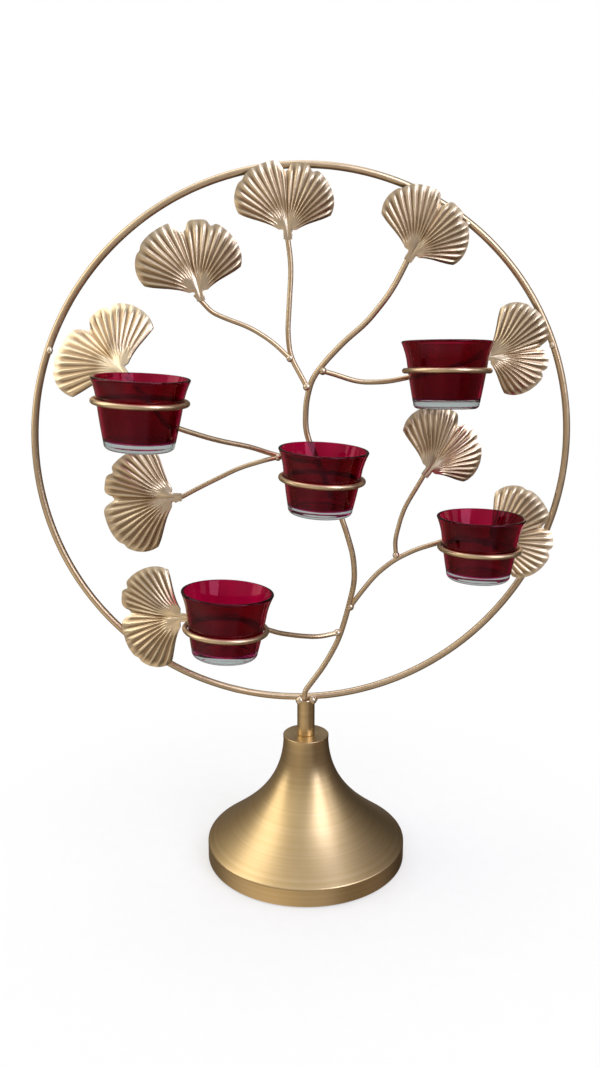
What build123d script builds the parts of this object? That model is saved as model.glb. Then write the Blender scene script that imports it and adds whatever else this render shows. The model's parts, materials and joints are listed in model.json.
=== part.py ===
from build123d import *
import math
import os

# Tealight holder stand: a round rod hoop on a short stem and a spun trumpet base.
# Inside the hoop a bent rod tree carries nine stamped fan leaves and five wire rings.
# A flared glass cup hangs in each ring and lifts out of it along its own axis.
# Millimetres. Z is up, the front of the stand faces -Y, and the origin is the
# centre of the base's underside.

# Base
base_radius = 74.5
rim_band_height = 13.5
rim_edge_radius = 1.5
neck_radius = 16.8
shell_height = 94.3
shell_wall = 1.6
flange_width = 8.0
rim_lift = 0.5
pad_thickness = 3.0
pad_side_gap = 0.3

# Collar, stem and what clamps them
collar_radius = 17.0
collar_thickness = 2.5
collar_edge = 0.4
stem_diameter = 13.0
stud_diameter = 8.0
stud_hole_diameter = 8.4
washer_diameter = 24.0
washer_thickness = 2.0
nut_across_flats = 13.0
nut_height = 6.5
stud_end_length = 3.0

# Hoop and rods
hoop_radius = 186.5
hoop_wire = 5.0
stem_length = 27.5
trunk_wire = 4.0
branch_wire = 3.5
twig_wire = 3.2
bend_share = 0.42

# Cup rings: how high each sits above its cup's foot, how far it leans, and its step sideways
ring_wire = 3.6
ring_on_cup = {1: 29.5, 2: 25.1, 3: 24.0, 4: 18.7, 5: 22.1}
ring_forward_tilt = {1: 2.0, 2: -3.5, 3: 2.5, 4: 0.0, 5: 0.0}
ring_side_tilt = {1: 3.1, 2: 0.3, 3: 3.0, 4: 3.5, 5: 1.1}
ring_side_step = {1: 0.3, 2: 1.5, 3: -2.7, 4: 0.0, 5: -0.5}
weld_gap = 0.1

# Weld beads
ring_bead = 2.8
branch_bead = 2.8
foot_bead = 3.2

# Glass cups
cup_rim_radius = 31.0
cup_height = 44.5
cup_foot_radius = 21.3
cup_shoulder_radius = 26.9
cup_shoulder_height = 32.0
cup_side_bulge = 0.28
cup_flare_sag = 0.4
cup_foot_corner = 3.5
cup_wall = 2.0
cup_floor = 5.5
cup_floor_corner = 2.0
cup_lip = 0.8
cup_gap = 0.3

# Leaves
leaf_radius = 54.0
leaf_thickness = 0.9
leaf_left_angle = 64.0
leaf_right_angle = 62.0
leaf_ribs = 22
rib_height = 1.0
leaf_dome = 5.0
leaf_curl = 5.0
leaf_tab_width = 5.0
leaf_lap = 6.0
leaf_seat = 0.7

# The middle of the hoop, and where the shell, collar and stem meet
collar_top = shell_height + collar_thickness
stem_top = collar_top + stem_length
hoop_height = stem_top + hoop_radius + 0.4 * hoop_wire


def at(across, up, forward=0.0):
    """A place in the hoop: shares of the hoop's radius, and mm in front of its plane."""
    return Vector(across * hoop_radius, -forward, hoop_height + up * hoop_radius)


def between(first, second, share):
    """The point that lies a share of the way from one point to the next."""
    return first + (second - first) * share


def bend_radii(points):
    """The largest bend that each corner's two runs allow, in their share."""
    radii = []
    for before, corner, after in zip(points, points[1:], points[2:]):
        turn = math.radians((corner - before).get_angle(after - corner))
        run = min((corner - before).length, (after - corner).length)
        radii.append(bend_share * run / math.tan(turn / 2))
    return radii


def bent_rod(points, diameter):
    """A round rod along straight runs joined by tangent bends."""
    if len(points) > 2:
        path = FilletPolyline(*points, radius=bend_radii(points))
    else:
        path = Line(*points)
    section = Plane(origin=path @ 0, z_dir=path % 0) * Circle(diameter / 2)
    return sweep(section, path=path)


def past_end(points, length):
    """The same route with its last run made longer."""
    last = points[-1]
    return points[:-1] + [last + (last - points[-2]).normalized() * length]


def flare_profile(inset):
    """Outline of the trumpet's side from its foot up, drawn in by an inset."""
    foot = (base_radius - inset, 0)
    band_top = (base_radius - inset, rim_band_height)
    skirt = (base_radius * 0.49 - inset, shell_height * 0.49)
    neck = (neck_radius - inset, shell_height)
    side = Line(foot, band_top)
    flare = Spline(band_top, skirt, neck, tangents=[(-0.80, 0.60), (-0.03, 1.0)])
    return side, flare


def turned(profile_edges, top, bottom):
    """A solid of revolution between a side profile and the axis."""
    lines = list(profile_edges)
    lines.append(Line(profile_edges[-1] @ 1, (0, top)))
    lines.append(Line((0, top), (0, bottom)))
    lines.append(Line((0, bottom), profile_edges[0] @ 0))
    face = Plane.XZ * make_face(Curve() + lines)
    return revolve(face, axis=Axis.Z)


def make_base_shell():
    """Spun sheet trumpet: rim band, concave flare, open neck and an inward flange."""
    outer = turned(flare_profile(0), shell_height, 0)
    inner = turned(flare_profile(shell_wall), shell_height, 0)
    shell = outer - inner
    flange = Cylinder(base_radius - shell_wall / 2, shell_wall, align=(Align.CENTER, Align.CENTER, Align.MIN))
    flange -= Cylinder(base_radius - shell_wall - flange_width, shell_wall * 3)
    shell += Pos(0, 0, pad_thickness) * flange
    shell -= Cylinder(base_radius * 1.2, 2 * rim_lift)
    band_edges = shell.edges().filter_by(GeomType.CIRCLE)
    shoulder = [edge for edge in band_edges
                if abs(edge.radius - base_radius) < 0.01 and abs(edge.center().Z - rim_band_height) < 0.01]
    return fillet(shoulder, rim_edge_radius)


def make_base_pad():
    """Thin pad glued under the flange; it closes the base and is what rests."""
    radius = base_radius - shell_wall - pad_side_gap
    return Cylinder(radius, pad_thickness, align=(Align.CENTER, Align.CENTER, Align.MIN))


def make_base_collar():
    """Flat turned disc on the neck's end, bored for the stem's stud."""
    disc = Cylinder(collar_radius, collar_thickness, align=(Align.CENTER, Align.CENTER, Align.MIN))
    disc = chamfer(disc.edges().group_by(Axis.Z)[-1], collar_edge)
    disc -= Cylinder(stud_hole_diameter / 2, collar_thickness * 3)
    return Pos(0, 0, shell_height) * disc


def make_washer():
    ring = Cylinder(washer_diameter / 2, washer_thickness, align=(Align.CENTER, Align.CENTER, Align.MAX))
    ring -= Cylinder(stud_hole_diameter / 2, washer_thickness * 3)
    return Pos(0, 0, shell_height) * ring


def make_nut():
    height = shell_height - washer_thickness
    side = RegularPolygon(nut_across_flats / 2, 6, major_radius=False)
    body = extrude(side, -nut_height) - Cylinder(stud_diameter / 2, nut_height * 3)
    return Pos(0, 0, height) * body


def make_stem(hoop, trunk):
    """Round bar with its stud; the top is saddled to the hoop."""
    bar = Cylinder(stem_diameter / 2, stem_length, align=(Align.CENTER, Align.CENTER, Align.MIN))
    bar = chamfer(bar.edges().group_by(Axis.Z)[0], collar_edge)
    stud_length = collar_thickness + washer_thickness + nut_height + stud_end_length
    stud = Cylinder(stud_diameter / 2, stud_length, align=(Align.CENTER, Align.CENTER, Align.MAX))
    return Pos(0, 0, collar_top) * (bar + stud) - hoop - trunk


def side_radius(height):
    """Radius of the cup's side at a height above its foot, up to the shoulder."""
    share = height / cup_shoulder_height
    straight = cup_foot_radius + (cup_shoulder_radius - cup_foot_radius) * share
    return straight + 4 * cup_side_bulge * share * (1 - share)


def side_lean():
    """Angle of the cup's side from upright."""
    return math.atan((cup_shoulder_radius - cup_foot_radius) / cup_shoulder_height)


def cup_profile(inset, start_height):
    """The cup's side from a given height: a slightly full side and then the flared lip."""
    half_height = (start_height + cup_shoulder_height) / 2
    start = (side_radius(start_height) - inset, start_height)
    full = (side_radius(half_height) - inset, half_height)
    shoulder = (cup_shoulder_radius - inset, cup_shoulder_height)
    rim = (cup_rim_radius - inset, cup_height)
    middle = ((shoulder[0] + rim[0]) / 2 - cup_flare_sag, (shoulder[1] + rim[1]) / 2)
    return ThreePointArc(start, full, shoulder), ThreePointArc(shoulder, middle, rim)


def make_cup():
    """Flared glass cup with a thick floor, standing on its own foot."""
    outer = turned(cup_profile(0, 0), cup_height, 0)
    outer = fillet(outer.edges().group_by(Axis.Z)[0], cup_foot_corner)
    inner = turned(cup_profile(cup_wall, cup_floor), cup_height, cup_floor)
    inner = fillet(inner.edges().group_by(Axis.Z)[0], cup_floor_corner)
    cup = outer - inner
    return fillet(cup.edges().group_by(Axis.Z)[-1], cup_lip)


def ring_radius(number):
    """Radius of a ring's wire centre, from the cup's side where the ring sits."""
    return side_radius(ring_on_cup[number]) + (ring_wire / 2 + cup_gap) / math.cos(side_lean())


def ring_turn(number):
    return Rot(ring_forward_tilt[number], ring_side_tilt[number], 0)


def ring_place(number, weld_point, rod_radius):
    """Where a ring sits so that its back is welded to the front of a rod."""
    back = ring_turn(number) * Pos(0, ring_radius(number) + ring_wire / 2 + weld_gap, 0)
    step = Vector(ring_side_step[number], -rod_radius, 0)
    return Location(weld_point + step - back.position) * ring_turn(number)


def lift_needed(number):
    """Travel that takes a cup's foot clear above its ring."""
    return ring_on_cup[number] + ring_wire


def lobe_share(angle):
    """Length of the leaf along a line at an angle from its middle, as a share."""
    left = 1.0 - 0.15 * (max(0.0, -angle - 24.0) / 35.0) ** 2
    right = 0.97 - 0.24 * (max(0.0, angle - 14.0) / 46.0) ** 1.5
    whole = left if angle < 0 else right
    notch = 0.15 * math.exp(-((angle + 1.7) / (4.6 if angle < -1.7 else 3.4)) ** 2)
    scallop = 0.052 * math.exp(-((angle - 20.6) / 2.6) ** 2)
    small = 0.02 * math.exp(-((angle + 39.0) / 2.6) ** 2)
    corner = 0.03 * (abs(angle) / 62.0) ** 12
    return whole - notch - scallop - small - corner


def leaf_height(angle, share):
    """How far the pressed sheet stands forward at a place on the leaf."""
    lobe = abs(angle + 1.7) / (leaf_left_angle if angle < -1.7 else leaf_right_angle)
    dome = leaf_dome * math.sin(math.pi * min(1.0, lobe * 0.85 + 0.08)) * share
    return dome - leaf_curl * share ** 2


def leaf_grid(size):
    """Rows of points over the leaf's back, from the tab's end out to the edge."""
    columns = 2 * leaf_ribs + 1
    rows = []
    for along in (0.0, leaf_lap):
        half = leaf_tab_width * (0.5 if along == 0.0 else 0.6)
        rows.append([Vector(half * (2 * i / (columns - 1) - 1), along, 0) for i in range(columns)])
    for share in (0.34, 0.67, 1.0):
        row = []
        for i in range(columns):
            angle = -leaf_left_angle + (leaf_left_angle + leaf_right_angle) * i / (columns - 1)
            reach = leaf_radius * size * lobe_share(angle) * share
            drawn = math.radians(angle * (1.0 - 0.5 * (1.0 - share) ** 2))
            rib = rib_height * (i % 2) * min(1.0, 1.6 * share)
            height = leaf_height(angle, share) * size + rib
            row.append(Vector(reach * math.sin(drawn), reach * math.cos(drawn), height))
        rows.append(row)
    return rows


def make_leaf(size):
    """One stamped leaf: a thin ribbed two-lobed fan with a flat tab."""
    back = leaf_grid(size)
    lift = Vector(0, 0, leaf_thickness)
    front = [[point + lift for point in row] for row in back]
    faces = []

    def patch(a, b, c, d):
        faces.append(Face(Wire.make_polygon([a, b, c])))
        faces.append(Face(Wire.make_polygon([a, c, d])))

    last_row = len(back) - 1
    last_column = len(back[0]) - 1
    for j in range(last_row):
        for i in range(last_column):
            patch(front[j][i], front[j][i + 1], front[j + 1][i + 1], front[j + 1][i])
            patch(back[j][i], back[j + 1][i], back[j + 1][i + 1], back[j][i + 1])
        for i in (0, last_column):
            patch(back[j][i], front[j][i], front[j + 1][i], back[j + 1][i])
    for i in range(last_column):
        for j in (0, last_row):
            patch(back[j][i], back[j][i + 1], front[j][i + 1], front[j][i])
    solid = Solid(Shell(faces))
    return solid if solid.volume > 0 else Solid(Shell([-face for face in faces]))


def leaf_place(rod_points, turn, lean, twist):
    """A leaf's place on the end of a rod: turned clockwise, leant back and twisted."""
    facing = Rot(90, 0, 0)
    spin = Rot(0, turn, 0) * facing * Rot(-lean, 0, 0) * Rot(0, twist, 0)
    seat = spin * Pos(0, 0, leaf_seat)
    return Location(rod_points[-1] + seat.position) * spin


def seat_cutter(place):
    """The space in front of a leaf's tab, which is taken off the rod's end."""
    block = Box(4 * leaf_tab_width, 3 * leaf_lap, 2 * leaf_tab_width, align=(Align.CENTER, Align.MIN, Align.MIN))
    return place * Pos(0, -0.25, 0) * block


def bead(centre, radius, *joined):
    """A weld lump at a place, cut clear of the pieces it joins."""
    lump = Pos(*centre) * Sphere(radius)
    for piece in joined:
        lump -= piece
    return lump.solids()


# The routes of the rods, as places in the hoop
foot_step = (hoop_wire + trunk_wire) / 2 + weld_gap
trunk_route = [
    at(-0.007, -1.0, foot_step), at(-0.006, -0.968, foot_step), at(0.074, -0.868, 1.0), at(0.130, -0.765),
    at(0.163, -0.650), at(0.190, -0.53), at(0.184, -0.43), at(0.145, -0.298), at(-0.003, 0.052, -2.0),
    at(-0.001, 0.165, -1.0), at(0.020, 0.250), at(0.072, 0.316), at(0.145, 0.391), at(0.220, 0.452),
    at(0.312, 0.564), at(0.366, 0.673, 1.0),
]
top_start = between(trunk_route[9], trunk_route[10], 0.5)
top_route = [top_start, at(-0.060, 0.333), at(-0.069, 0.42), at(-0.055, 0.655), at(-0.068, 0.745, 1.0)]
top_twig_start = between(top_route[0], top_route[1], 0.86)
top_twig_route = [top_twig_start, at(-0.125, 0.386), at(-0.205, 0.436), at(-0.30, 0.471), at(-0.345, 0.491),
                  at(-0.381, 0.530, 1.0)]
upper_right_start = between(trunk_route[10], trunk_route[11], 0.5)
upper_right_route = [upper_right_start, at(0.10, 0.268), at(0.195, 0.237), at(0.30, 0.238), at(0.40, 0.258),
                     at(0.56, 0.296), at(0.656, 0.329, 1.0)]
left_start = between(trunk_route[7], trunk_route[8], 0.70)
left_route = [left_start, at(-0.05, -0.050), at(-0.13, -0.027, 1.0), at(-0.213, 0.006, 8.0),
              at(-0.34, 0.040, 20.0), at(-0.461, 0.088, 33.0), at(-0.508, 0.112, 38.0),
              at(-0.538, 0.158, 40.0), at(-0.638, 0.271, 36.0)]
left_twig_start = between(left_route[1], left_route[2], 0.55)
left_twig_route = [left_twig_start, at(-0.15, -0.047, 3.0), at(-0.25, -0.075, 3.0), at(-0.40, -0.148, 2.0),
                   at(-0.469, -0.184, 3.0)]
lower_left_start = between(trunk_route[3], trunk_route[4], 0.26)
lower_left_route = [lower_left_start, at(0.05, -0.746, 4.0), at(-0.03, -0.729, 10.0), at(-0.109, -0.698, 20.0),
                    at(-0.16, -0.671, 26.0), at(-0.215, -0.640, 29.5), at(-0.27, -0.607, 29.5),
                    at(-0.36, -0.604, 29.5), at(-0.446, -0.618, 26.0)]
right_start = between(trunk_route[4], trunk_route[5], 0.04)
right_route = [right_start, at(0.212, -0.578), at(0.272, -0.503), at(0.345, -0.445), at(0.43, -0.405),
               at(0.51, -0.383), at(0.595, -0.352), at(0.695, -0.385, -2.0)]
right_twig_start = between(right_route[3], right_route[4], 0.08)
right_twig_route = [right_twig_start, at(0.344, -0.37), at(0.373, -0.25), at(0.449, -0.117, 1.0)]

# Each ring is welded to one run of one rod: the route, the run's first point, the share along it, the rod
ring_weld = {
    1: (left_route, 7, 0.43, "branch_left"),
    2: (upper_right_route, 4, 0.5, "branch_upper_right"),
    3: (trunk_route, 7, 0.59, "trunk"),
    4: (lower_left_route, 6, 0.47, "branch_lower_left"),
    5: (right_route, 6, 0.42, "branch_right"),
}

# Each leaf: its rod, size, turn clockwise from upright, lean back, and twist
leaf_table = {
    "a": ("branch_top", 0.93, 0.0, -5.0, 0.0),
    "b": ("twig_top", 1.0, -12.0, 0.0, 0.0),
    "c": ("branch_left", 1.06, -40.0, 34.0, 0.0),
    "d": ("twig_left", 1.03, -90.0, 2.0, 0.0),
    "e": ("branch_lower_left", 1.04, -91.0, 25.0, 0.0),
    "f": ("trunk", 0.91, 33.0, -6.5, 0.0),
    "g": ("branch_upper_right", 0.90, 83.0, -3.0, 5.0),
    "h": ("twig_right", 0.93, 38.0, 6.0, 8.0),
    "i": ("branch_right", 0.95, 76.0, -9.0, -12.0),
}

# Each rod: its route, its wire, and the rods it ends on
rod_table = {
    "trunk": (trunk_route, trunk_wire, ()),
    "branch_top": (top_route, branch_wire, ("trunk",)),
    "twig_top": (top_twig_route, twig_wire, ("branch_top",)),
    "branch_upper_right": (upper_right_route, branch_wire, ("trunk",)),
    "branch_left": (left_route, branch_wire, ("trunk",)),
    "twig_left": (left_twig_route, twig_wire, ("branch_left", "trunk")),
    "branch_lower_left": (lower_left_route, branch_wire, ("trunk",)),
    "branch_right": (right_route, branch_wire, ("trunk",)),
    "twig_right": (right_twig_route, twig_wire, ("branch_right",)),
}


def make_weld_beads(nodes, ring_points):
    """The lumps at the rods' joints, the rings, and the top of the stem."""
    lumps = []
    for name, (route, wire, carriers) in rod_table.items():
        if carriers:
            centre = route[0] + (route[1] - route[0]).normalized() * wire * 0.8
            lumps += bead(centre, branch_bead * wire / branch_wire, nodes[name], nodes[carriers[0]])
    for number, centre in ring_points.items():
        lumps += bead(centre, ring_bead, nodes[ring_weld[number][3]], nodes["ring_%d" % number])
    for side in (-1, 1):
        centre = Vector(side * 0.36 * stem_diameter, -0.5 * hoop_wire, stem_top)
        lumps += bead(centre, foot_bead, nodes["stem"], nodes["hoop"], nodes["trunk"])
    return Compound(children=lumps)


def build():
    """Every sub-part by name."""
    hoop = Pos(0, 0, hoop_height) * Rot(90, 0, 0) * Torus(hoop_radius, hoop_wire / 2)
    nodes = {"hoop": hoop}
    for name, (route, wire, carriers) in rod_table.items():
        rod = bent_rod(past_end(route, leaf_lap), wire)
        for carrier in carriers:
            rod -= nodes[carrier]
        nodes[name] = rod

    for letter, (rod_name, size, turn, lean, twist) in leaf_table.items():
        place = leaf_place(rod_table[rod_name][0], turn, lean, twist)
        nodes["leaf_" + letter] = place * make_leaf(size)
        nodes[rod_name] -= seat_cutter(place)

    nodes["stem"] = make_stem(hoop, nodes["trunk"])
    nodes["base_shell"] = make_base_shell()
    nodes["base_pad"] = make_base_pad()
    nodes["base_collar"] = make_base_collar()
    nodes["base_washer"] = make_washer()
    nodes["base_nut"] = make_nut()

    cup = make_cup()
    ring_points = {}
    for number, (route, first, share, rod_name) in ring_weld.items():
        rod_radius = rod_table[rod_name][1] / 2
        weld_point = between(route[first], route[first + 1], share)
        place = ring_place(number, weld_point, rod_radius)
        nodes["ring_%d" % number] = place * Torus(ring_radius(number), ring_wire / 2)
        nodes["cup_%d" % number] = place * Pos(0, 0, -ring_on_cup[number]) * cup
        ring_points[number] = weld_point - Vector(0, rod_radius, 0)
    nodes["weld_beads"] = make_weld_beads(nodes, ring_points)
    return nodes


def main():
    os.makedirs("parts", exist_ok=True)
    for name, shape in build().items():
        export_step(shape, "parts/%s.step" % name)
        print(name, round(shape.volume, 1))


main()
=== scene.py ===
import bpy
import bmesh
import json
import math
from mathutils import Matrix, Vector, noise


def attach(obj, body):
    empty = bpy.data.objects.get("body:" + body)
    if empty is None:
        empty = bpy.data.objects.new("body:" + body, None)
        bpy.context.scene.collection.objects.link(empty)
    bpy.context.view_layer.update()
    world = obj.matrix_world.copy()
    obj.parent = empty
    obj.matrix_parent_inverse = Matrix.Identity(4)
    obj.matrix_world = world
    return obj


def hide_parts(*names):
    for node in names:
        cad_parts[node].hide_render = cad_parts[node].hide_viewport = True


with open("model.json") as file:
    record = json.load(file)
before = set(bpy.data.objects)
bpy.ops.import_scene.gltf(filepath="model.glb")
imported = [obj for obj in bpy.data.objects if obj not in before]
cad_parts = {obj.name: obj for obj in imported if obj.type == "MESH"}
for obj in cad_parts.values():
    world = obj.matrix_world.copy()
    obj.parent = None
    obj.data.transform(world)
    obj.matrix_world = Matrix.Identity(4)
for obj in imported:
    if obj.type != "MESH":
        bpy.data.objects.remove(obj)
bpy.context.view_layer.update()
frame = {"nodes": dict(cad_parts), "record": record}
nodes = frame["nodes"]

# Sizes shared with the part, in metres
HOOP_RADIUS = 0.1865
HOOP_HEIGHT = 0.3128
HOOP_WIRE = 0.005
STEM_TOP = 0.1243

# The two values that a noise texture mostly stays between
NOISE_LOW = 0.3
NOISE_HIGH = 0.7


def fill(tree, made, inputs):
    """Fill a node's inputs, each with another node's output, a number, a vector or a colour."""
    for key, value in inputs.items():
        target = made.inputs[key]
        if isinstance(value, bpy.types.NodeSocket):
            tree.links.new(value, target)
        elif target.type == "RGBA":
            target.default_value = (*value, 1)
        else:
            target.default_value = value


def node(tree, kind, inputs=None, **settings):
    """A node with its settings and its inputs, by name or by number."""
    made = tree.nodes.new(kind)
    for key, value in settings.items():
        setattr(made, key, value)
    fill(tree, made, inputs or {})
    return made


def new_material(name):
    """A node material, its tree and its Principled shader."""
    material = bpy.data.materials.new(name)
    material.use_nodes = True
    tree = material.node_tree
    tree.nodes.clear()
    shader = node(tree, "ShaderNodeBsdfPrincipled")
    node(tree, "ShaderNodeOutputMaterial", {"Surface": shader.outputs[0]})
    return material, tree, shader


def maths(tree, operation, *values):
    """A maths node over outputs and numbers."""
    return node(tree, "ShaderNodeMath", dict(enumerate(values)), operation=operation).outputs[0]


def ramp(tree, factor, stops):
    """A colour ramp over a factor, from (place, colour) pairs."""
    made = node(tree, "ShaderNodeValToRGB", {0: factor})
    elements = made.color_ramp.elements
    while len(elements) < len(stops):
        elements.new(0.5)
    for element, (place, colour) in zip(elements, stops):
        element.position = place
        element.color = (*colour, 1)
    return made.outputs[0]


def blend(tree, factor, first, second, kind="MIX"):
    """A mix of two colours, each an output or a fixed colour."""
    inputs = {0: factor, 6: first, 7: second}
    return node(tree, "ShaderNodeMix", inputs, data_type="RGBA", blend_type=kind).outputs[2]


def span(tree, value, low, high, to_low, to_high):
    """A value mapped from one range to another."""
    inputs = {0: value, 1: low, 2: high, 3: to_low, 4: to_high}
    return node(tree, "ShaderNodeMapRange", inputs).outputs[0]


def noise_span(tree, texture, low, high):
    """A value that follows a noise texture between two limits."""
    return span(tree, texture, NOISE_LOW, NOISE_HIGH, low, high)


def noise_tone(tree, texture, first, second):
    """A colour that follows a noise texture from one tone to another."""
    return ramp(tree, texture, [(NOISE_LOW, first), (NOISE_HIGH, second)])


def object_noise(tree, scale, detail=3.0, stretch=None):
    """Noise over object coordinates, stretched if asked."""
    coords = node(tree, "ShaderNodeTexCoord").outputs["Object"]
    if stretch:
        coords = node(tree, "ShaderNodeMapping", {0: coords, "Scale": stretch}).outputs[0]
    inputs = {"Vector": coords, "Scale": scale, "Detail": detail}
    return node(tree, "ShaderNodeTexNoise", inputs).outputs[0]


def bump(tree, height, strength, distance):
    """A surface direction bumped by a height; the distance is in metres."""
    inputs = {"Height": height, "Strength": strength, "Distance": distance}
    return node(tree, "ShaderNodeBump", inputs).outputs[0]


def attribute(tree, name):
    """A value stored on the mesh's points."""
    return node(tree, "ShaderNodeAttribute", attribute_name=name).outputs["Fac"]


# Gold plate: the scales of its patches of tone, clouds of sheen and waves, and the grain's share in the
# bump; the power narrows the painted shade in the leaves' grooves
PATCH_SCALE = 38.0
CLOUD_SCALE = 160.0
WAVE_SCALE = 220.0
GRAIN_SHARE = 0.4
GROOVE_SHADE_POWER = 1.6


def gold(name, light, deep, smoothest, roughest, grain_scale, strength, groove_shade_colour=None):
    """Satin gold plate: patches of tone, a sheen that varies, fine grain and, on leaves, painted shade in
    the grooves.
    """
    material, tree, shader = new_material(name)
    tone = noise_tone(tree, object_noise(tree, PATCH_SCALE, detail=4.0), deep, light)
    if groove_shade_colour:
        # Painted shade: the tone darkens towards the given dark colour where the grooves between the leaf's
        # ribs lie
        tone = blend(tree, maths(tree, "POWER", attribute(tree, "groove_shade"), GROOVE_SHADE_POWER), tone, groove_shade_colour)
    grain = maths(tree, "MULTIPLY", object_noise(tree, grain_scale, detail=2.0), GRAIN_SHARE)
    surface = maths(tree, "ADD", grain, object_noise(tree, WAVE_SCALE, detail=2.0))
    fill(tree, shader, {
        "Metallic": 1.0,
        "Base Color": tone,
        "Roughness": noise_span(tree, object_noise(tree, CLOUD_SCALE), smoothest, roughest),
        "Normal": bump(tree, surface, strength, distance=0.0002),
    })
    return material


# Spun base: the scales of its turned lines, broad rings and patches, and their shares in tone and bump
LINE_SCALE = 2600.0
RING_SCALE = 260.0
SPUN_PATCH_SCALE = 22.0
RING_TONE = 0.6
PATCH_TONE = 0.4
RING_BUMP = 0.8


def ring_noise(tree, along, scale, detail):
    """Noise that runs in rings round the axis."""
    inputs = {"W": along, "Scale": scale, "Detail": detail}
    return node(tree, "ShaderNodeTexNoise", inputs, noise_dimensions="1D").outputs[0]


def spun_gold(name, light, deep):
    """Spun sheet: fine turned lines run round the axis and the tone shifts in rings."""
    material, tree, shader = new_material(name)
    coords = node(tree, "ShaderNodeTexCoord").outputs["Object"]
    x, y, z = node(tree, "ShaderNodeSeparateXYZ", {0: coords}).outputs
    square = maths(tree, "ADD", maths(tree, "MULTIPLY", x, x), maths(tree, "MULTIPLY", y, y))
    along = maths(tree, "SUBTRACT", maths(tree, "SQRT", square), z)
    lines = ring_noise(tree, along, LINE_SCALE, detail=2.0)
    rings = ring_noise(tree, along, RING_SCALE, detail=3.0)
    patches = maths(tree, "MULTIPLY", object_noise(tree, SPUN_PATCH_SCALE), PATCH_TONE)
    tone = maths(tree, "ADD", maths(tree, "MULTIPLY", rings, RING_TONE), patches)
    surface = maths(tree, "ADD", lines, maths(tree, "MULTIPLY", rings, RING_BUMP))
    fill(tree, shader, {
        "Metallic": 1.0,
        "Anisotropic": 0.55,
        "Coat Weight": 0.7,
        "Coat Roughness": 0.24,
        "Base Color": ramp(tree, tone, [(0.35, deep), (0.65, light)]),
        "Roughness": noise_span(tree, lines, low=0.28, high=0.37),
        "Tangent": node(tree, "ShaderNodeTangent", direction_type="RADIAL", axis="Z").outputs[0],
        "Normal": bump(tree, surface, strength=0.16, distance=0.00012),
    })
    return material


def clear_glass(name, deep, light):
    """Clear pressed glass with faint waves in its surface."""
    material, tree, shader = new_material(name)
    waves = object_noise(tree, scale=60.0, detail=2.0)
    fill(tree, shader, {
        "Transmission Weight": 1.0,
        "IOR": 1.48,
        "Base Color": noise_tone(tree, waves, deep, light),
        "Roughness": noise_span(tree, waves, low=0.012, high=0.0192),
        "Normal": bump(tree, waves, strength=0.06, distance=0.0006),
    })
    return material


# Red coat: the noise values between which its patches run from deep to light, and the shares of the
# cup's depth between which it thickens
COAT_DEEP = 0.3
COAT_LIGHT = 0.72
COAT_THIN_END = 0.35
COAT_THICK_START = 0.95


def red_coat(name):
    """The red lacquer on both skins of the glass: a deep film in soft patches, thicker low down."""
    material, tree, shader = new_material(name)
    patches = object_noise(tree, scale=42.0, stretch=(1.0, 1.0, 0.6))
    thin = ramp(tree, patches, [(COAT_DEEP, (0.17, 0.0004, 0.013)), (COAT_LIGHT, (0.33, 0.0012, 0.032))])
    thick = ramp(tree, patches, [(COAT_DEEP, (0.13, 0.0001, 0.011)), (COAT_LIGHT, (0.25, 0.0004, 0.024))])
    low_down = span(tree, attribute(tree, "depth"), COAT_THIN_END, COAT_THICK_START, 0.0, 1.0)
    fill(tree, shader, {
        "Transmission Weight": 1.0,
        "IOR": 1.45,
        "Specular IOR Level": 0.18,
        "Specular Tint": (1.0, 0.30, 0.50),
        "Base Color": blend(tree, low_down, thin, thick),
        "Roughness": noise_span(tree, patches, low=0.04, high=0.09),
        "Normal": bump(tree, patches, strength=0.16, distance=0.0008),
    })
    return material


def felt(name):
    """Dark felt with a fibrous surface."""
    material, tree, shader = new_material(name)
    fibres = object_noise(tree, scale=900.0, detail=4.0)
    fill(tree, shader, {
        "Sheen Weight": 0.4,
        "Base Color": noise_tone(tree, fibres, (0.03, 0.027, 0.024), (0.09, 0.08, 0.07)),
        "Roughness": noise_span(tree, fibres, low=0.85, high=1.0),
        "Normal": bump(tree, fibres, strength=0.8, distance=0.0008),
    })
    return material


def steel(name):
    """Plain steel with fine streaks across its axis."""
    material, tree, shader = new_material(name)
    lines = object_noise(tree, scale=400.0, stretch=(1.0, 1.0, 6.0))
    fill(tree, shader, {
        "Metallic": 1.0,
        "Base Color": noise_tone(tree, lines, (0.42, 0.42, 0.41), (0.62, 0.62, 0.60)),
        "Roughness": noise_span(tree, lines, low=0.25, high=0.42),
        "Normal": bump(tree, lines, strength=0.2, distance=0.0002),
    })
    return material


rod_gold = gold(
    "rod_gold", light=(0.80, 0.64, 0.44), deep=(0.71, 0.55, 0.36),
    smoothest=0.28, roughest=0.38, grain_scale=500.0, strength=0.03,
)
# The leaves' dark colour is painted shade for the grooves between their ribs
leaf_gold = gold(
    "leaf_gold", light=(0.92, 0.79, 0.60), deep=(0.82, 0.68, 0.49),
    smoothest=0.27, roughest=0.38, grain_scale=2600.0, strength=0.10, groove_shade_colour=(0.33, 0.23, 0.145),
)
weld_gold = gold(
    "weld_gold", light=(0.88, 0.77, 0.62), deep=(0.72, 0.58, 0.42),
    smoothest=0.26, roughest=0.36, grain_scale=1200.0, strength=0.15,
)
base_gold = spun_gold("base_gold", light=(0.70, 0.53, 0.29), deep=(0.62, 0.45, 0.22))
glass_clear = clear_glass("glass_clear", deep=(0.36, 0.41, 0.40), light=(0.378, 0.4305, 0.42))
glass_red = red_coat("glass_red")
pad_felt = felt("pad_felt")
fastener_steel = steel("fastener_steel")

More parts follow.
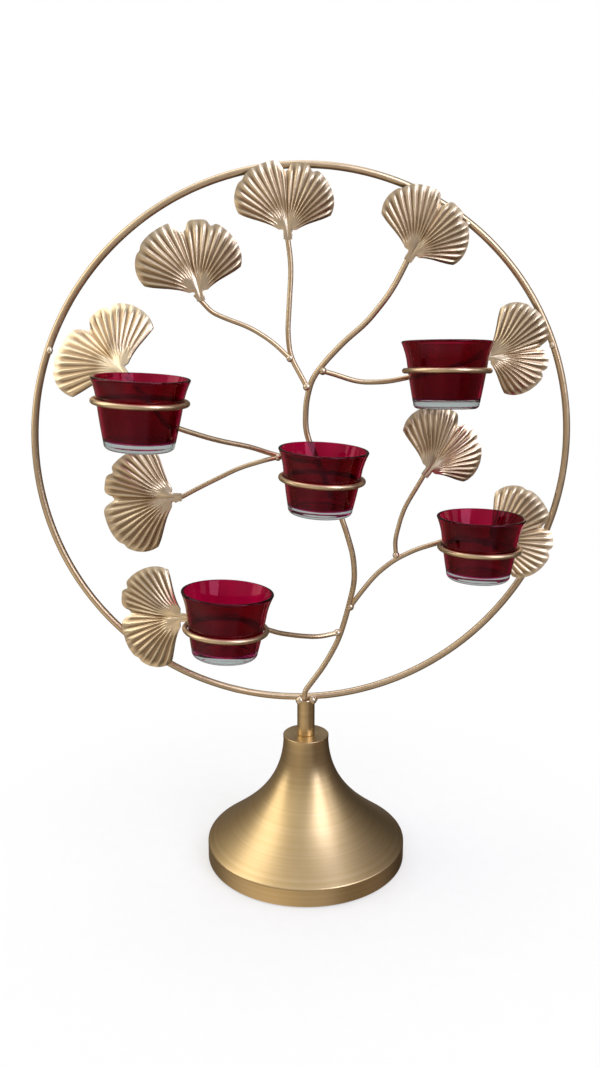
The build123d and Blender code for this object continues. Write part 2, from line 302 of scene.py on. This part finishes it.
slot_material = {
    "rod_gold": rod_gold, "leaf_gold": leaf_gold, "weld_gold": weld_gold, "base_gold": base_gold,
    "red_glass": glass_clear, "pad_felt": pad_felt, "fastener_steel": fastener_steel,
}
node_slot = {entry["node"]: entry["material_slot"] for entry in frame["record"]["subparts"]}
for name, obj in nodes.items():
    material = slot_material[node_slot[name]]
    if not obj.material_slots:
        obj.data.materials.append(material)
    for material_slot in obj.material_slots:
        material_slot.material = material

# Corners of a mesh that bend by more than this stay sharp, in radians
SHARP_ANGLE = 1.0


def new_object(name, data):
    """An object for a mesh, a lamp or a camera, put in the scene."""
    made = bpy.data.objects.new(name, data)
    bpy.context.scene.collection.objects.link(made)
    return made


def finish_mesh(mesh, material):
    """Turn the faces outwards, shade them smooth, keep sharp corners and add the material."""
    bm = bmesh.new()
    bm.from_mesh(mesh)
    bmesh.ops.recalc_face_normals(bm, faces=bm.faces)
    for face in bm.faces:
        face.smooth = True
    for border in bm.edges:
        if border.calc_face_angle(0.0) > SHARP_ANGLE:
            border.smooth = False
    bm.to_mesh(mesh)
    bm.free()
    mesh.materials.append(material)


# Leaves: the sheet, its outline's angles in degrees, its tab, and its neck in shares of its length
LEAF_RADIUS = 0.054
LEAF_THICKNESS = 0.0009
LEFT_ANGLE = 64.0
RIGHT_ANGLE = 62.0
CORNER_ANGLE = 63.0
CORNER_CUT = 0.075
CORNER_POWER = 9
NOTCH_ANGLE = -1.7
TAB_HALF = 0.0028
NECK_START = 0.054
NECK_END = 0.26
LEAF_ROWS = 44

# The pressed relief: ribs that bend outwards, grooves between them, a domed lobe each side, a drooping
# edge and small dents, and painted shade in the grooves. What rises or fades along a rib does so over shares
# of the leaf's length
RIBS = 20
RIB_STEPS = 10
RIB_HEIGHT = 0.00105
RIB_POWER = 1.5
RIB_START = 0.26
RIB_START_SPREAD = 0.10
RIB_RISE = 0.22
RIB_SEED_STEP = 1.7
RIB_SWEEP = 0.80
RIB_SWEEP_LOSS = 0.30
RIB_EDGE = (0.86, 0.99)
RIB_EDGE_LOSS = 0.8
# How the painted shade in the grooves rises along a rib and fades near the edge
GROOVE_SHADE_RISE = 0.2
GROOVE_SHADE_EDGE = (0.88, 1.0)
GROOVE_SHADE_EDGE_LOSS = 0.7
DOME_HEIGHT = 0.005
DOME_START = 0.08
DOME_SPAN = 0.85
EDGE_DROOP = 0.005
DENT_DEPTH = 0.0002
DENT_SCALE = 90
DENT_RISE = (0.1, 0.3)
SEED_STEP = 3.7


def fall(angle, start, width, depth, power):
    """How much shorter the leaf gets past an angle, as a share of its length."""
    return depth * (max(0.0, angle - start) / width) ** power


def dip(angle, middle, depth, width):
    """A rounded dip in the leaf's edge, as a share of its length."""
    return depth * math.exp(-((angle - middle) / width) ** 2)


def lobe_share(angle):
    """Length of the leaf along a line at an angle from its middle, as a share."""
    if angle < 0:
        whole = 1.0 - fall(-angle, start=24.0, width=35.0, depth=0.15, power=2)
    else:
        whole = 0.97 - fall(angle, start=14.0, width=46.0, depth=0.24, power=1.5)
    notch = dip(angle, NOTCH_ANGLE, depth=0.15, width=4.6 if angle < NOTCH_ANGLE else 3.4)
    scallop = dip(angle, 20.6, depth=0.052, width=2.6)
    small = dip(angle, -39.0, depth=0.02, width=2.6)
    corner = CORNER_CUT * (abs(angle) / CORNER_ANGLE) ** CORNER_POWER
    return whole - notch - scallop - small - corner


def smooth(low, high, value):
    """A soft step from 0 at low to 1 at high."""
    step = max(0.0, min(1.0, (value - low) / (high - low)))
    return step * step * (3 - 2 * step)


def leaf_point(across, share, size, seed):
    """A place on the sheet's back: across from 0 to 1, share from the tab's end to the edge."""
    angle = -LEFT_ANGLE + (LEFT_ANGLE + RIGHT_ANGLE) * across
    phase = across * RIBS
    crest = (0.5 - 0.5 * math.cos(2 * math.pi * phase)) ** RIB_POWER
    reach = LEAF_RADIUS * size * lobe_share(angle)
    sweep = RIB_SWEEP - RIB_SWEEP_LOSS * (angle / LEFT_ANGLE) ** 2
    drawn = math.radians(angle * (1.0 - sweep * (1.0 - share) ** 2))
    fan = Vector((reach * share * math.sin(drawn), reach * share * math.cos(drawn), 0))
    tab = Vector((TAB_HALF * (2 * across - 1) * (1 + share), LEAF_RADIUS * size * share, 0))
    point = tab.lerp(fan, smooth(NECK_START, NECK_END, share))
    lobe = abs(angle - NOTCH_ANGLE) / (LEFT_ANGLE if angle < NOTCH_ANGLE else RIGHT_ANGLE)
    dome = DOME_HEIGHT * math.sin(math.pi * min(1.0, lobe * DOME_SPAN + DOME_START)) * share
    chance = noise.noise(Vector((round(phase - 0.5) * RIB_SEED_STEP, seed, 0)))
    start = RIB_START + RIB_START_SPREAD * chance
    ribs = RIB_HEIGHT * crest * smooth(start, start + RIB_RISE, share)
    ribs *= 1 - RIB_EDGE_LOSS * smooth(*RIB_EDGE, share)
    bend = noise.noise(Vector((point.x * DENT_SCALE, point.y * DENT_SCALE, seed)))
    dents = DENT_DEPTH * bend * smooth(*DENT_RISE, share)
    point.z = (dome - EDGE_DROOP * share ** 2) * size + ribs + dents
    # Painted shade: how dark the groove between the ribs is painted here
    groove_shade = (1 - crest) * smooth(start, start + GROOVE_SHADE_RISE, share)
    groove_shade *= 1 - GROOVE_SHADE_EDGE_LOSS * smooth(*GROOVE_SHADE_EDGE, share)
    return point, groove_shade


def leaf_mesh(name, size, seed):
    """The ribbed fan as one thin closed sheet."""
    mesh = bpy.data.meshes.new(name)
    columns = RIBS * RIB_STEPS + 1
    points, faces, groove_shades = [], [], []
    for layer in (0, 1):
        for row in range(LEAF_ROWS + 1):
            for column in range(columns):
                point, groove_shade = leaf_point(column / (columns - 1), row / LEAF_ROWS, size, seed)
                points.append(point + Vector((0, 0, LEAF_THICKNESS * layer)))
                groove_shades.append(groove_shade)
    count = (LEAF_ROWS + 1) * columns
    for row in range(LEAF_ROWS):
        for column in range(columns - 1):
            corner = row * columns + column
            back = (corner, corner + columns, corner + columns + 1, corner + 1)
            faces.append(back)
            faces.append(tuple(count + index for index in reversed(back)))
    edge = list(range(columns))
    edge += [row * columns + columns - 1 for row in range(1, LEAF_ROWS + 1)]
    edge += [LEAF_ROWS * columns + column for column in range(columns - 2, -1, -1)]
    edge += [row * columns for row in range(LEAF_ROWS - 1, 0, -1)]
    for first, second in zip(edge, edge[1:] + edge[:1]):
        faces.append((first, second, count + second, count + first))
    mesh.from_pydata(points, [], faces)
    # Painted shade for the grooves, kept on the points for the leaf material
    shade = mesh.attributes.new("groove_shade", "FLOAT", "POINT")
    shade.data.foreach_set("value", groove_shades)
    finish_mesh(mesh, leaf_gold)
    return mesh


# Each leaf: its rod's end from the hoop's middle, as shares of the hoop's radius across and up and in mm
# forward, then its size as a share, and its turn, its lean back and its twist in degrees
leaf_table = {
    "a": ((-0.068, 0.745, 1.0), 0.93, 0.0, -5.0, 0.0),
    "b": ((-0.381, 0.530, 1.0), 1.0, -12.0, 0.0, 0.0),
    "c": ((-0.638, 0.271, 36.0), 1.06, -40.0, 34.0, 0.0),
    "d": ((-0.469, -0.184, 3.0), 1.03, -90.0, 2.0, 0.0),
    "e": ((-0.446, -0.618, 26.0), 1.04, -91.0, 25.0, 0.0),
    "f": ((0.366, 0.673, 1.0), 0.91, 33.0, -6.5, 0.0),
    "g": ((0.656, 0.329, 1.0), 0.90, 83.0, -3.0, 5.0),
    "h": ((0.449, -0.117, 1.0), 0.93, 38.0, 6.0, 8.0),
    "i": ((0.695, -0.385, -2.0), 0.95, 76.0, -9.0, -12.0),
}
LEAF_SEAT = 0.0007


def leaf_matrix(end, turn, lean, twist):
    """Where a leaf stands: its tab on the rod's end, turned, leant and twisted."""
    across, up, forward = end
    spin = Matrix.Rotation(math.radians(turn), 4, "Y")
    spin = spin @ Matrix.Rotation(math.radians(90 - lean), 4, "X")
    spin = spin @ Matrix.Rotation(math.radians(twist), 4, "Y")
    place = Vector((across * HOOP_RADIUS, -forward / 1000, HOOP_HEIGHT + up * HOOP_RADIUS))
    return Matrix.Translation(place + spin.to_3x3() @ Vector((0, 0, LEAF_SEAT))) @ spin


for index, (letter, (end, size, turn, lean, twist)) in enumerate(leaf_table.items()):
    mesh = leaf_mesh("leaf_sheet_" + letter, size, index * SEED_STEP)
    mesh.transform(leaf_matrix(end, turn, lean, twist))
    leaf = new_object("stamped_leaf_" + letter, mesh)
    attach(leaf, "stand")
    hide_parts("leaf_" + letter)

# Hoop: steps round it and round its wire, waves in its thickness and one ground weld seam, low on the left
HOOP_STEPS = 360
WIRE_STEPS = 28
HOOP_WAVE = 0.00006
HOOP_WAVE_SCALE = 6
SEAM_HEIGHT = 0.00012
SEAM_ANGLE = 196
SEAM_HALF_WIDTH = 1.1


def hoop_mesh():
    """The bent round bar, with slight waves in its thickness and one ground weld seam."""
    mesh = bpy.data.meshes.new("hoop_bar")
    points, faces = [], []
    count = HOOP_STEPS * WIRE_STEPS
    for step in range(HOOP_STEPS):
        turn = 2 * math.pi * step / HOOP_STEPS
        outward = Vector((math.sin(turn), 0, math.cos(turn)))
        wave = HOOP_WAVE * noise.noise(Vector((HOOP_WAVE_SCALE * outward.x, HOOP_WAVE_SCALE * outward.z, 0)))
        seam = SEAM_HEIGHT * math.exp(-((math.degrees(turn) - SEAM_ANGLE) / SEAM_HALF_WIDTH) ** 2)
        radius = HOOP_WIRE / 2 + wave + seam - HOOP_WAVE
        for side in range(WIRE_STEPS):
            lean = 2 * math.pi * side / WIRE_STEPS
            across = outward * (HOOP_RADIUS + radius * math.cos(lean))
            points.append(across + Vector((0, radius * math.sin(lean), HOOP_HEIGHT)))
            here = step * WIRE_STEPS + side
            after = step * WIRE_STEPS + (side + 1) % WIRE_STEPS
            faces.append((here, after, (after + WIRE_STEPS) % count, (here + WIRE_STEPS) % count))
    mesh.from_pydata(points, [], faces)
    finish_mesh(mesh, rod_gold)
    return mesh


hoop = new_object("hoop_bar", hoop_mesh())
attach(hoop, "stand")
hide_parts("hoop")

# Cups: outside radii at the rim, shoulder and foot, how far the side bulges below the shoulder and sags
# above it, and the height at which the red coat starts
CUP_HEIGHT = 0.0445
CUP_RIM = 0.031
CUP_FOOT = 0.0213
CUP_SHOULDER = 0.0269
SHOULDER_HEIGHT = 0.032
CUP_BULGE = 0.00028
CUP_SAG = 0.0004
CUP_WALL = 0.002
CUP_FLOOR = 0.0055
FOOT_CORNER = 0.0035
FLOOR_CORNER = 0.0026
RED_START = 0.0053
CUP_COUNT = 5
TURNS = 128
OUTSIDE_STEPS = 33
INSIDE_STEPS = 30

# The hollow under the foot as (radius, height), and the dip in the floor inside as (radius, drop)
FOOT_HOLLOW = [(0.0, 0.0009), (0.008, 0.0008), (0.0145, 0.0003), (0.0168, 0.0)]
FLOOR_DIP = [(0.011, 0.0002), (0.0055, 0.0004), (0.0, 0.0005)]


def side_radius(height):
    """The outside radius of the cup's side at a height."""
    if height <= SHOULDER_HEIGHT:
        share = height / SHOULDER_HEIGHT
        return CUP_FOOT + (CUP_SHOULDER - CUP_FOOT) * share + 4 * CUP_BULGE * share * (1 - share)
    share = (height - SHOULDER_HEIGHT) / (CUP_HEIGHT - SHOULDER_HEIGHT)
    return CUP_SHOULDER + (CUP_RIM - CUP_SHOULDER) * share - 4 * CUP_SAG * share * (1 - share)


def arc(centre, radius, start, stop, steps):
    """Profile points on an arc, in degrees from outward."""
    points = []
    for step in range(steps + 1):
        angle = math.radians(start + (stop - start) * step / steps)
        points.append((centre[0] + radius * math.cos(angle), centre[1] + radius * math.sin(angle)))
    return points


def cup_profile():
    """Outline from the middle of the foot, up the outside, over the lip and down the inside."""
    points = list(FOOT_HOLLOW)
    foot_centre = (side_radius(FOOT_CORNER) - FOOT_CORNER, FOOT_CORNER)
    points += arc(foot_centre, FOOT_CORNER, start=-88, stop=0, steps=8)
    top = CUP_HEIGHT - CUP_WALL / 2
    for step in range(1, OUTSIDE_STEPS + 1):
        height = FOOT_CORNER + (top - FOOT_CORNER) * step / OUTSIDE_STEPS
        points.append((side_radius(height), height))
    lip_centre = (side_radius(top) - CUP_WALL / 2, top)
    points += arc(lip_centre, CUP_WALL / 2, start=20, stop=170, steps=8)
    inner_start = len(points)
    for step in range(1, INSIDE_STEPS + 1):
        height = top - (top - CUP_FLOOR - FLOOR_CORNER) * step / INSIDE_STEPS
        points.append((side_radius(height) - CUP_WALL, height))
    floor_radius = side_radius(CUP_FLOOR + FLOOR_CORNER) - CUP_WALL
    floor_centre = (floor_radius - FLOOR_CORNER, CUP_FLOOR + FLOOR_CORNER)
    points += arc(floor_centre, FLOOR_CORNER, start=-8, stop=-88, steps=7)
    points += [(radius, CUP_FLOOR - drop) for radius, drop in FLOOR_DIP]
    return points, inner_start


def cup_ring(bm, radius, height):
    """The points of the profile's turn at a height, or the one point on its axis."""
    if radius == 0.0:
        return [bm.verts.new((0, 0, height))]
    turns = [2 * math.pi * turn / TURNS for turn in range(TURNS)]
    return [bm.verts.new((radius * math.cos(turn), radius * math.sin(turn), height)) for turn in turns]


def cup_mesh(name):
    """The glass turned from its profile; its inside, and its outside above the foot, are coated."""
    profile, inner_start = cup_profile()
    bm = bmesh.new()
    rings = [cup_ring(bm, radius, height) for radius, height in profile]
    for index, (lower, upper) in enumerate(zip(rings, rings[1:])):
        for here in range(TURNS):
            after = (here + 1) % TURNS
            if len(lower) == 1:
                face = bm.faces.new((lower[0], upper[after], upper[here]))
            elif len(upper) == 1:
                face = bm.faces.new((lower[here], lower[after], upper[0]))
            else:
                face = bm.faces.new((lower[here], lower[after], upper[after], upper[here]))
            face.smooth = True
            coated = index >= inner_start or profile[index][1] >= RED_START
            face.material_index = 1 if coated else 0
    bmesh.ops.recalc_face_normals(bm, faces=bm.faces)
    mesh = bpy.data.meshes.new(name)
    bm.to_mesh(mesh)
    bm.free()
    depth = mesh.attributes.new("depth", "FLOAT", "POINT")
    depth.data.foreach_set("value", [1 - vertex.co.z / CUP_HEIGHT for vertex in mesh.vertices])
    mesh.materials.append(glass_clear)
    mesh.materials.append(glass_red)
    return mesh


def cup_place(obj, axis):
    """Where a CAD cup stands: the middle of its foot, and its axis as Z."""
    axis = axis.normalized()
    side = axis.cross(Vector((0, 1, 0))).normalized()
    ahead = axis.cross(side)
    points = [vertex.co for vertex in obj.data.vertices]
    middle = axis * min(point.dot(axis) for point in points)
    for direction in (side, ahead):
        reach = [point.dot(direction) for point in points]
        middle += direction * (min(reach) + max(reach)) / 2
    basis = Matrix((ahead, -side, axis)).transposed()
    return Matrix.Translation(middle) @ basis.to_4x4()


joint_axis = {joint["child"]: Vector(joint["axis"]) for joint in frame["record"]["behaviour"]["joints"]}
for number in range(1, CUP_COUNT + 1):
    name = "cup_%d" % number
    mesh = cup_mesh("glass_%d" % number)
    mesh.transform(cup_place(nodes[name], joint_axis[name]))
    cup = new_object("glass_cup_%d" % number, mesh)
    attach(cup, name)
    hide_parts(name)

# Dabs of weld on top of the stem: place from its axis and its top, and half sizes
stem_dabs = [
    ((-0.0052, -0.0022, 0.0002), (0.0026, 0.0026, 0.0020)),
    ((0.0054, -0.0020, 0.0003), (0.0028, 0.0026, 0.0020)),
    ((0.0002, -0.0048, -0.0004), (0.0026, 0.0016, 0.0014)),
    ((-0.0048, 0.0026, 0.0002), (0.0026, 0.0026, 0.0020)),
    ((0.0050, 0.0028, 0.0002), (0.0026, 0.0026, 0.0020)),
]
# Dabs of weld on the hoop at the leaves: degrees clockwise from its top, how far they sit inside
# its middle line and in front of it, and half sizes
hoop_dabs = [
    (-69.0, 0.0015, 0.0026, (0.0020, 0.0016, 0.0026)),
    (-136.0, 0.0015, 0.0028, (0.0020, 0.0016, 0.0022)),
    (68.0, 0.0018, 0.0028, (0.0018, 0.0016, 0.0024)),
    (112.0, 0.0018, 0.0028, (0.0018, 0.0016, 0.0024)),
    (-6.0, 0.0015, 0.0026, (0.0024, 0.0014, 0.0018)),
    (36.0, 0.0015, 0.0026, (0.0022, 0.0014, 0.0018)),
]
# How much broad and fine noise changes a dab's radius, as shares, and the scales of that noise
BROAD_BULGE = 0.22
BROAD_SCALE = 1.3
FINE_BULGE = 0.07
FINE_SCALE = 4
DAB_SEED_STEP = 2.3


def hoop_point(degrees, inside, forward):
    """A place by the hoop's middle line."""
    angle = math.radians(degrees)
    radius = HOOP_RADIUS - inside
    return Vector((radius * math.sin(angle), -forward, HOOP_HEIGHT + radius * math.cos(angle)))


def add_dab(bm, centre, size, seed):
    """One small uneven dab of weld."""
    made = bmesh.ops.create_icosphere(bm, subdivisions=3, radius=1.0)
    for vertex in made["verts"]:
        bulge = 1 + BROAD_BULGE * noise.noise(vertex.co * BROAD_SCALE + Vector((seed, 0, 0)))
        bulge += FINE_BULGE * noise.noise(vertex.co * FINE_SCALE + Vector((0, seed, 0)))
        vertex.co = centre + vertex.co * bulge * Vector(size)


def weld_mesh():
    """All dabs of weld as one mesh."""
    dabs = [(Vector((x, y, STEM_TOP + z)), size) for (x, y, z), size in stem_dabs]
    dabs += [(hoop_point(degrees, inside, forward), size) for degrees, inside, forward, size in hoop_dabs]
    bm = bmesh.new()
    for index, (centre, size) in enumerate(dabs):
        add_dab(bm, centre, size, index * DAB_SEED_STEP)
    for face in bm.faces:
        face.smooth = True
    mesh = bpy.data.meshes.new("weld_lumps")
    bm.to_mesh(mesh)
    bm.free()
    mesh.materials.append(weld_gold)
    return mesh


weld_lumps = new_object("weld_lumps", weld_mesh())
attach(weld_lumps, "stand")


def seen_straight(tree):
    """1 for rays from the camera and through glass, which see a white background, and 0 for others."""
    light = node(tree, "ShaderNodeLightPath")
    return maths(tree, "MAXIMUM", light.outputs["Is Camera Ray"], light.outputs["Is Transmission Ray"])


def mixed(tree, factor, first, second):
    """A mix of two shaders."""
    return node(tree, "ShaderNodeMixShader", {0: factor, 1: first, 2: second}).outputs[0]


# Floor: how far it lies under the stand, and the distances over which it fades, from half white to white
FLOOR_RADIUS = 6.0
FLOOR_SIDES = 96
FLOOR_DROP = 0.0004
FADE_START = 0.09
FADE_END = 0.30
FADE_LEAST = 0.5
WHITE = (1.0, 1.0, 1.0)


def floor_material():
    """Pale floor that keeps the shadow near the stand and fades to the white background."""
    material, tree, shader = new_material("floor")
    grain = object_noise(tree, scale=90.0)
    fill(tree, shader, {
        "Specular IOR Level": 0.2,
        "Base Color": noise_tone(tree, grain, (0.86, 0.86, 0.86), (0.89, 0.89, 0.89)),
        "Roughness": 0.7,
    })
    coords = node(tree, "ShaderNodeTexCoord").outputs["Object"]
    length = node(tree, "ShaderNodeVectorMath", {0: coords}, operation="LENGTH").outputs["Value"]
    fade = span(tree, length, FADE_START, FADE_END, FADE_LEAST, 1.0)
    glow = node(tree, "ShaderNodeEmission", {"Color": WHITE, "Strength": 1.0}).outputs[0]
    white = maths(tree, "MULTIPLY", fade, seen_straight(tree))
    surface = mixed(tree, white, shader.outputs[0], glow)
    fill(tree, tree.nodes["Material Output"], {"Surface": surface})
    return material


bpy.ops.mesh.primitive_circle_add(
    vertices=FLOOR_SIDES, radius=FLOOR_RADIUS, fill_type="NGON", location=(0, 0, -FLOOR_DROP))
floor = bpy.context.object
floor.name = "floor"
floor.data.materials.append(floor_material())
floor.visible_glossy = False

# Each lamp: its place, what it points at, its width and height, its power in watts and its colour
lamp_table = {
    "key": ((-1.45, 0.0, 1.0), (0, 0, 0.2), (0.9, 1.7), 8.5, (1.0, 0.93, 0.78)),
    "window": ((0.86, -1.1, 1.1), (0, 0, 0.2), (0.75, 1.7), 14.0, (0.86, 0.86, 1.0)),
    "fill": ((1.5, -0.5, 0.9), (0, 0, 0.25), (0.5, 1.4), 2.0, (0.97, 0.97, 1.0)),
    "top": ((-0.2, 0.3, 1.9), (0, 0, 0.3), (1.4, 1.0), 6.0, (1.0, 1.0, 1.0)),
}
for name, (place, target, size, power, colour) in lamp_table.items():
    data = bpy.data.lights.new(name, "AREA")
    data.shape = "RECTANGLE"
    data.size, data.size_y = size
    data.energy = power
    data.color = colour
    lamp = new_object(name, data)
    lamp.location = place
    lamp.rotation_euler = (Vector(target) - Vector(place)).to_track_quat("-Z", "Y").to_euler()

# The studio that the gold reflects: its front and back, from straight down at 0 to straight up at 1
FRONT_TONES = [
    (0.0, (0.11, 0.085, 0.06)),
    (0.24, (1.15, 1.02, 0.86)),
    (0.34, (0.52, 0.46, 0.40)),
    (0.46, (0.54, 0.48, 0.42)),
    (0.54, (0.60, 0.535, 0.475)),
    (0.63, (0.60, 0.56, 0.51)),
    (0.78, (0.88, 0.86, 0.83)),
    (1.0, (0.78, 0.78, 0.78)),
]
BACK_TONES = [
    (0.0, (0.12, 0.095, 0.07)),
    (0.42, (0.20, 0.165, 0.13)),
    (0.60, (0.16, 0.13, 0.105)),
    (0.75, (0.40, 0.37, 0.34)),
    (0.92, (0.76, 0.75, 0.74)),
]
# What both are multiplied by, from far left at 0 to far right at 1
SIDE_TONES = [
    (0.0, (0.75, 0.73, 0.70)),
    (0.22, (1.02, 0.98, 0.90)),
    (0.46, (0.62, 0.61, 0.60)),
    (0.66, (0.66, 0.65, 0.68)),
    (0.76, (0.22, 0.19, 0.17)),
    (1.0, (0.32, 0.28, 0.26)),
]
# Where the front gives way to the back, in the direction's forward share, and the strengths
BACK_START = -0.2
BACK_FULL = 0.5
STUDIO_STRENGTH = 0.9
EVEN_STRENGTH = 0.75
EVEN_TONE = (0.9, 0.9, 0.92)


def background(tree, colour, strength):
    """A light of one colour from all round."""
    return node(tree, "ShaderNodeBackground", {"Color": colour, "Strength": strength}).outputs[0]


def build_world():
    """White behind the stand, a studio for the reflections and an even light for the rest."""
    world = bpy.data.worlds.new("studio")
    bpy.context.scene.world = world
    world.use_nodes = True
    tree = world.node_tree
    tree.nodes.clear()
    direction = node(tree, "ShaderNodeTexCoord").outputs["Generated"]
    x, y, z = node(tree, "ShaderNodeSeparateXYZ", {0: direction}).outputs
    height = span(tree, z, -1.0, 1.0, 0.0, 1.0)
    behind = span(tree, y, BACK_START, BACK_FULL, 0.0, 1.0)
    walls = blend(tree, behind, ramp(tree, height, FRONT_TONES), ramp(tree, height, BACK_TONES))
    sides = ramp(tree, span(tree, x, -1.0, 1.0, 0.0, 1.0), SIDE_TONES)
    studio = background(tree, blend(tree, 1.0, walls, sides, "MULTIPLY"), STUDIO_STRENGTH)
    even = background(tree, EVEN_TONE, EVEN_STRENGTH)
    glossy = node(tree, "ShaderNodeLightPath").outputs["Is Glossy Ray"]
    around = mixed(tree, glossy, even, studio)
    surface = mixed(tree, seen_straight(tree), around, background(tree, WHITE, 1.0))
    node(tree, "ShaderNodeOutputWorld", {"Surface": surface})


build_world()

# Camera, fitted to the hoop in the photograph; the stand is turned a little to the camera
CAMERA_DISTANCE = 0.670
CAMERA_ABOVE = 0.0863
OBJECT_YAW = math.radians(4.82)
AIM_LEFT = math.radians(0.379)
PITCH_DOWN = math.radians(12.53)
SENSOR_HEIGHT = 36.0
PHOTO_HEIGHT_PIXELS = 1067.0
FOCAL_PIXELS = 960.0
camera_data = bpy.data.cameras.new("camera")
camera_data.sensor_fit = "VERTICAL"
camera_data.sensor_height = SENSOR_HEIGHT
camera_data.lens = SENSOR_HEIGHT * FOCAL_PIXELS / PHOTO_HEIGHT_PIXELS
camera_data.clip_start = 0.01
camera = new_object("camera", camera_data)
camera.location = (
    -CAMERA_DISTANCE * math.sin(OBJECT_YAW),
    -CAMERA_DISTANCE * math.cos(OBJECT_YAW),
    HOOP_HEIGHT + CAMERA_ABOVE,
)
camera.rotation_euler = (math.pi / 2 - PITCH_DOWN, 0, -(OBJECT_YAW - AIM_LEFT))
bpy.context.scene.camera = camera
bpy.context.scene.view_settings.view_transform = "Standard"
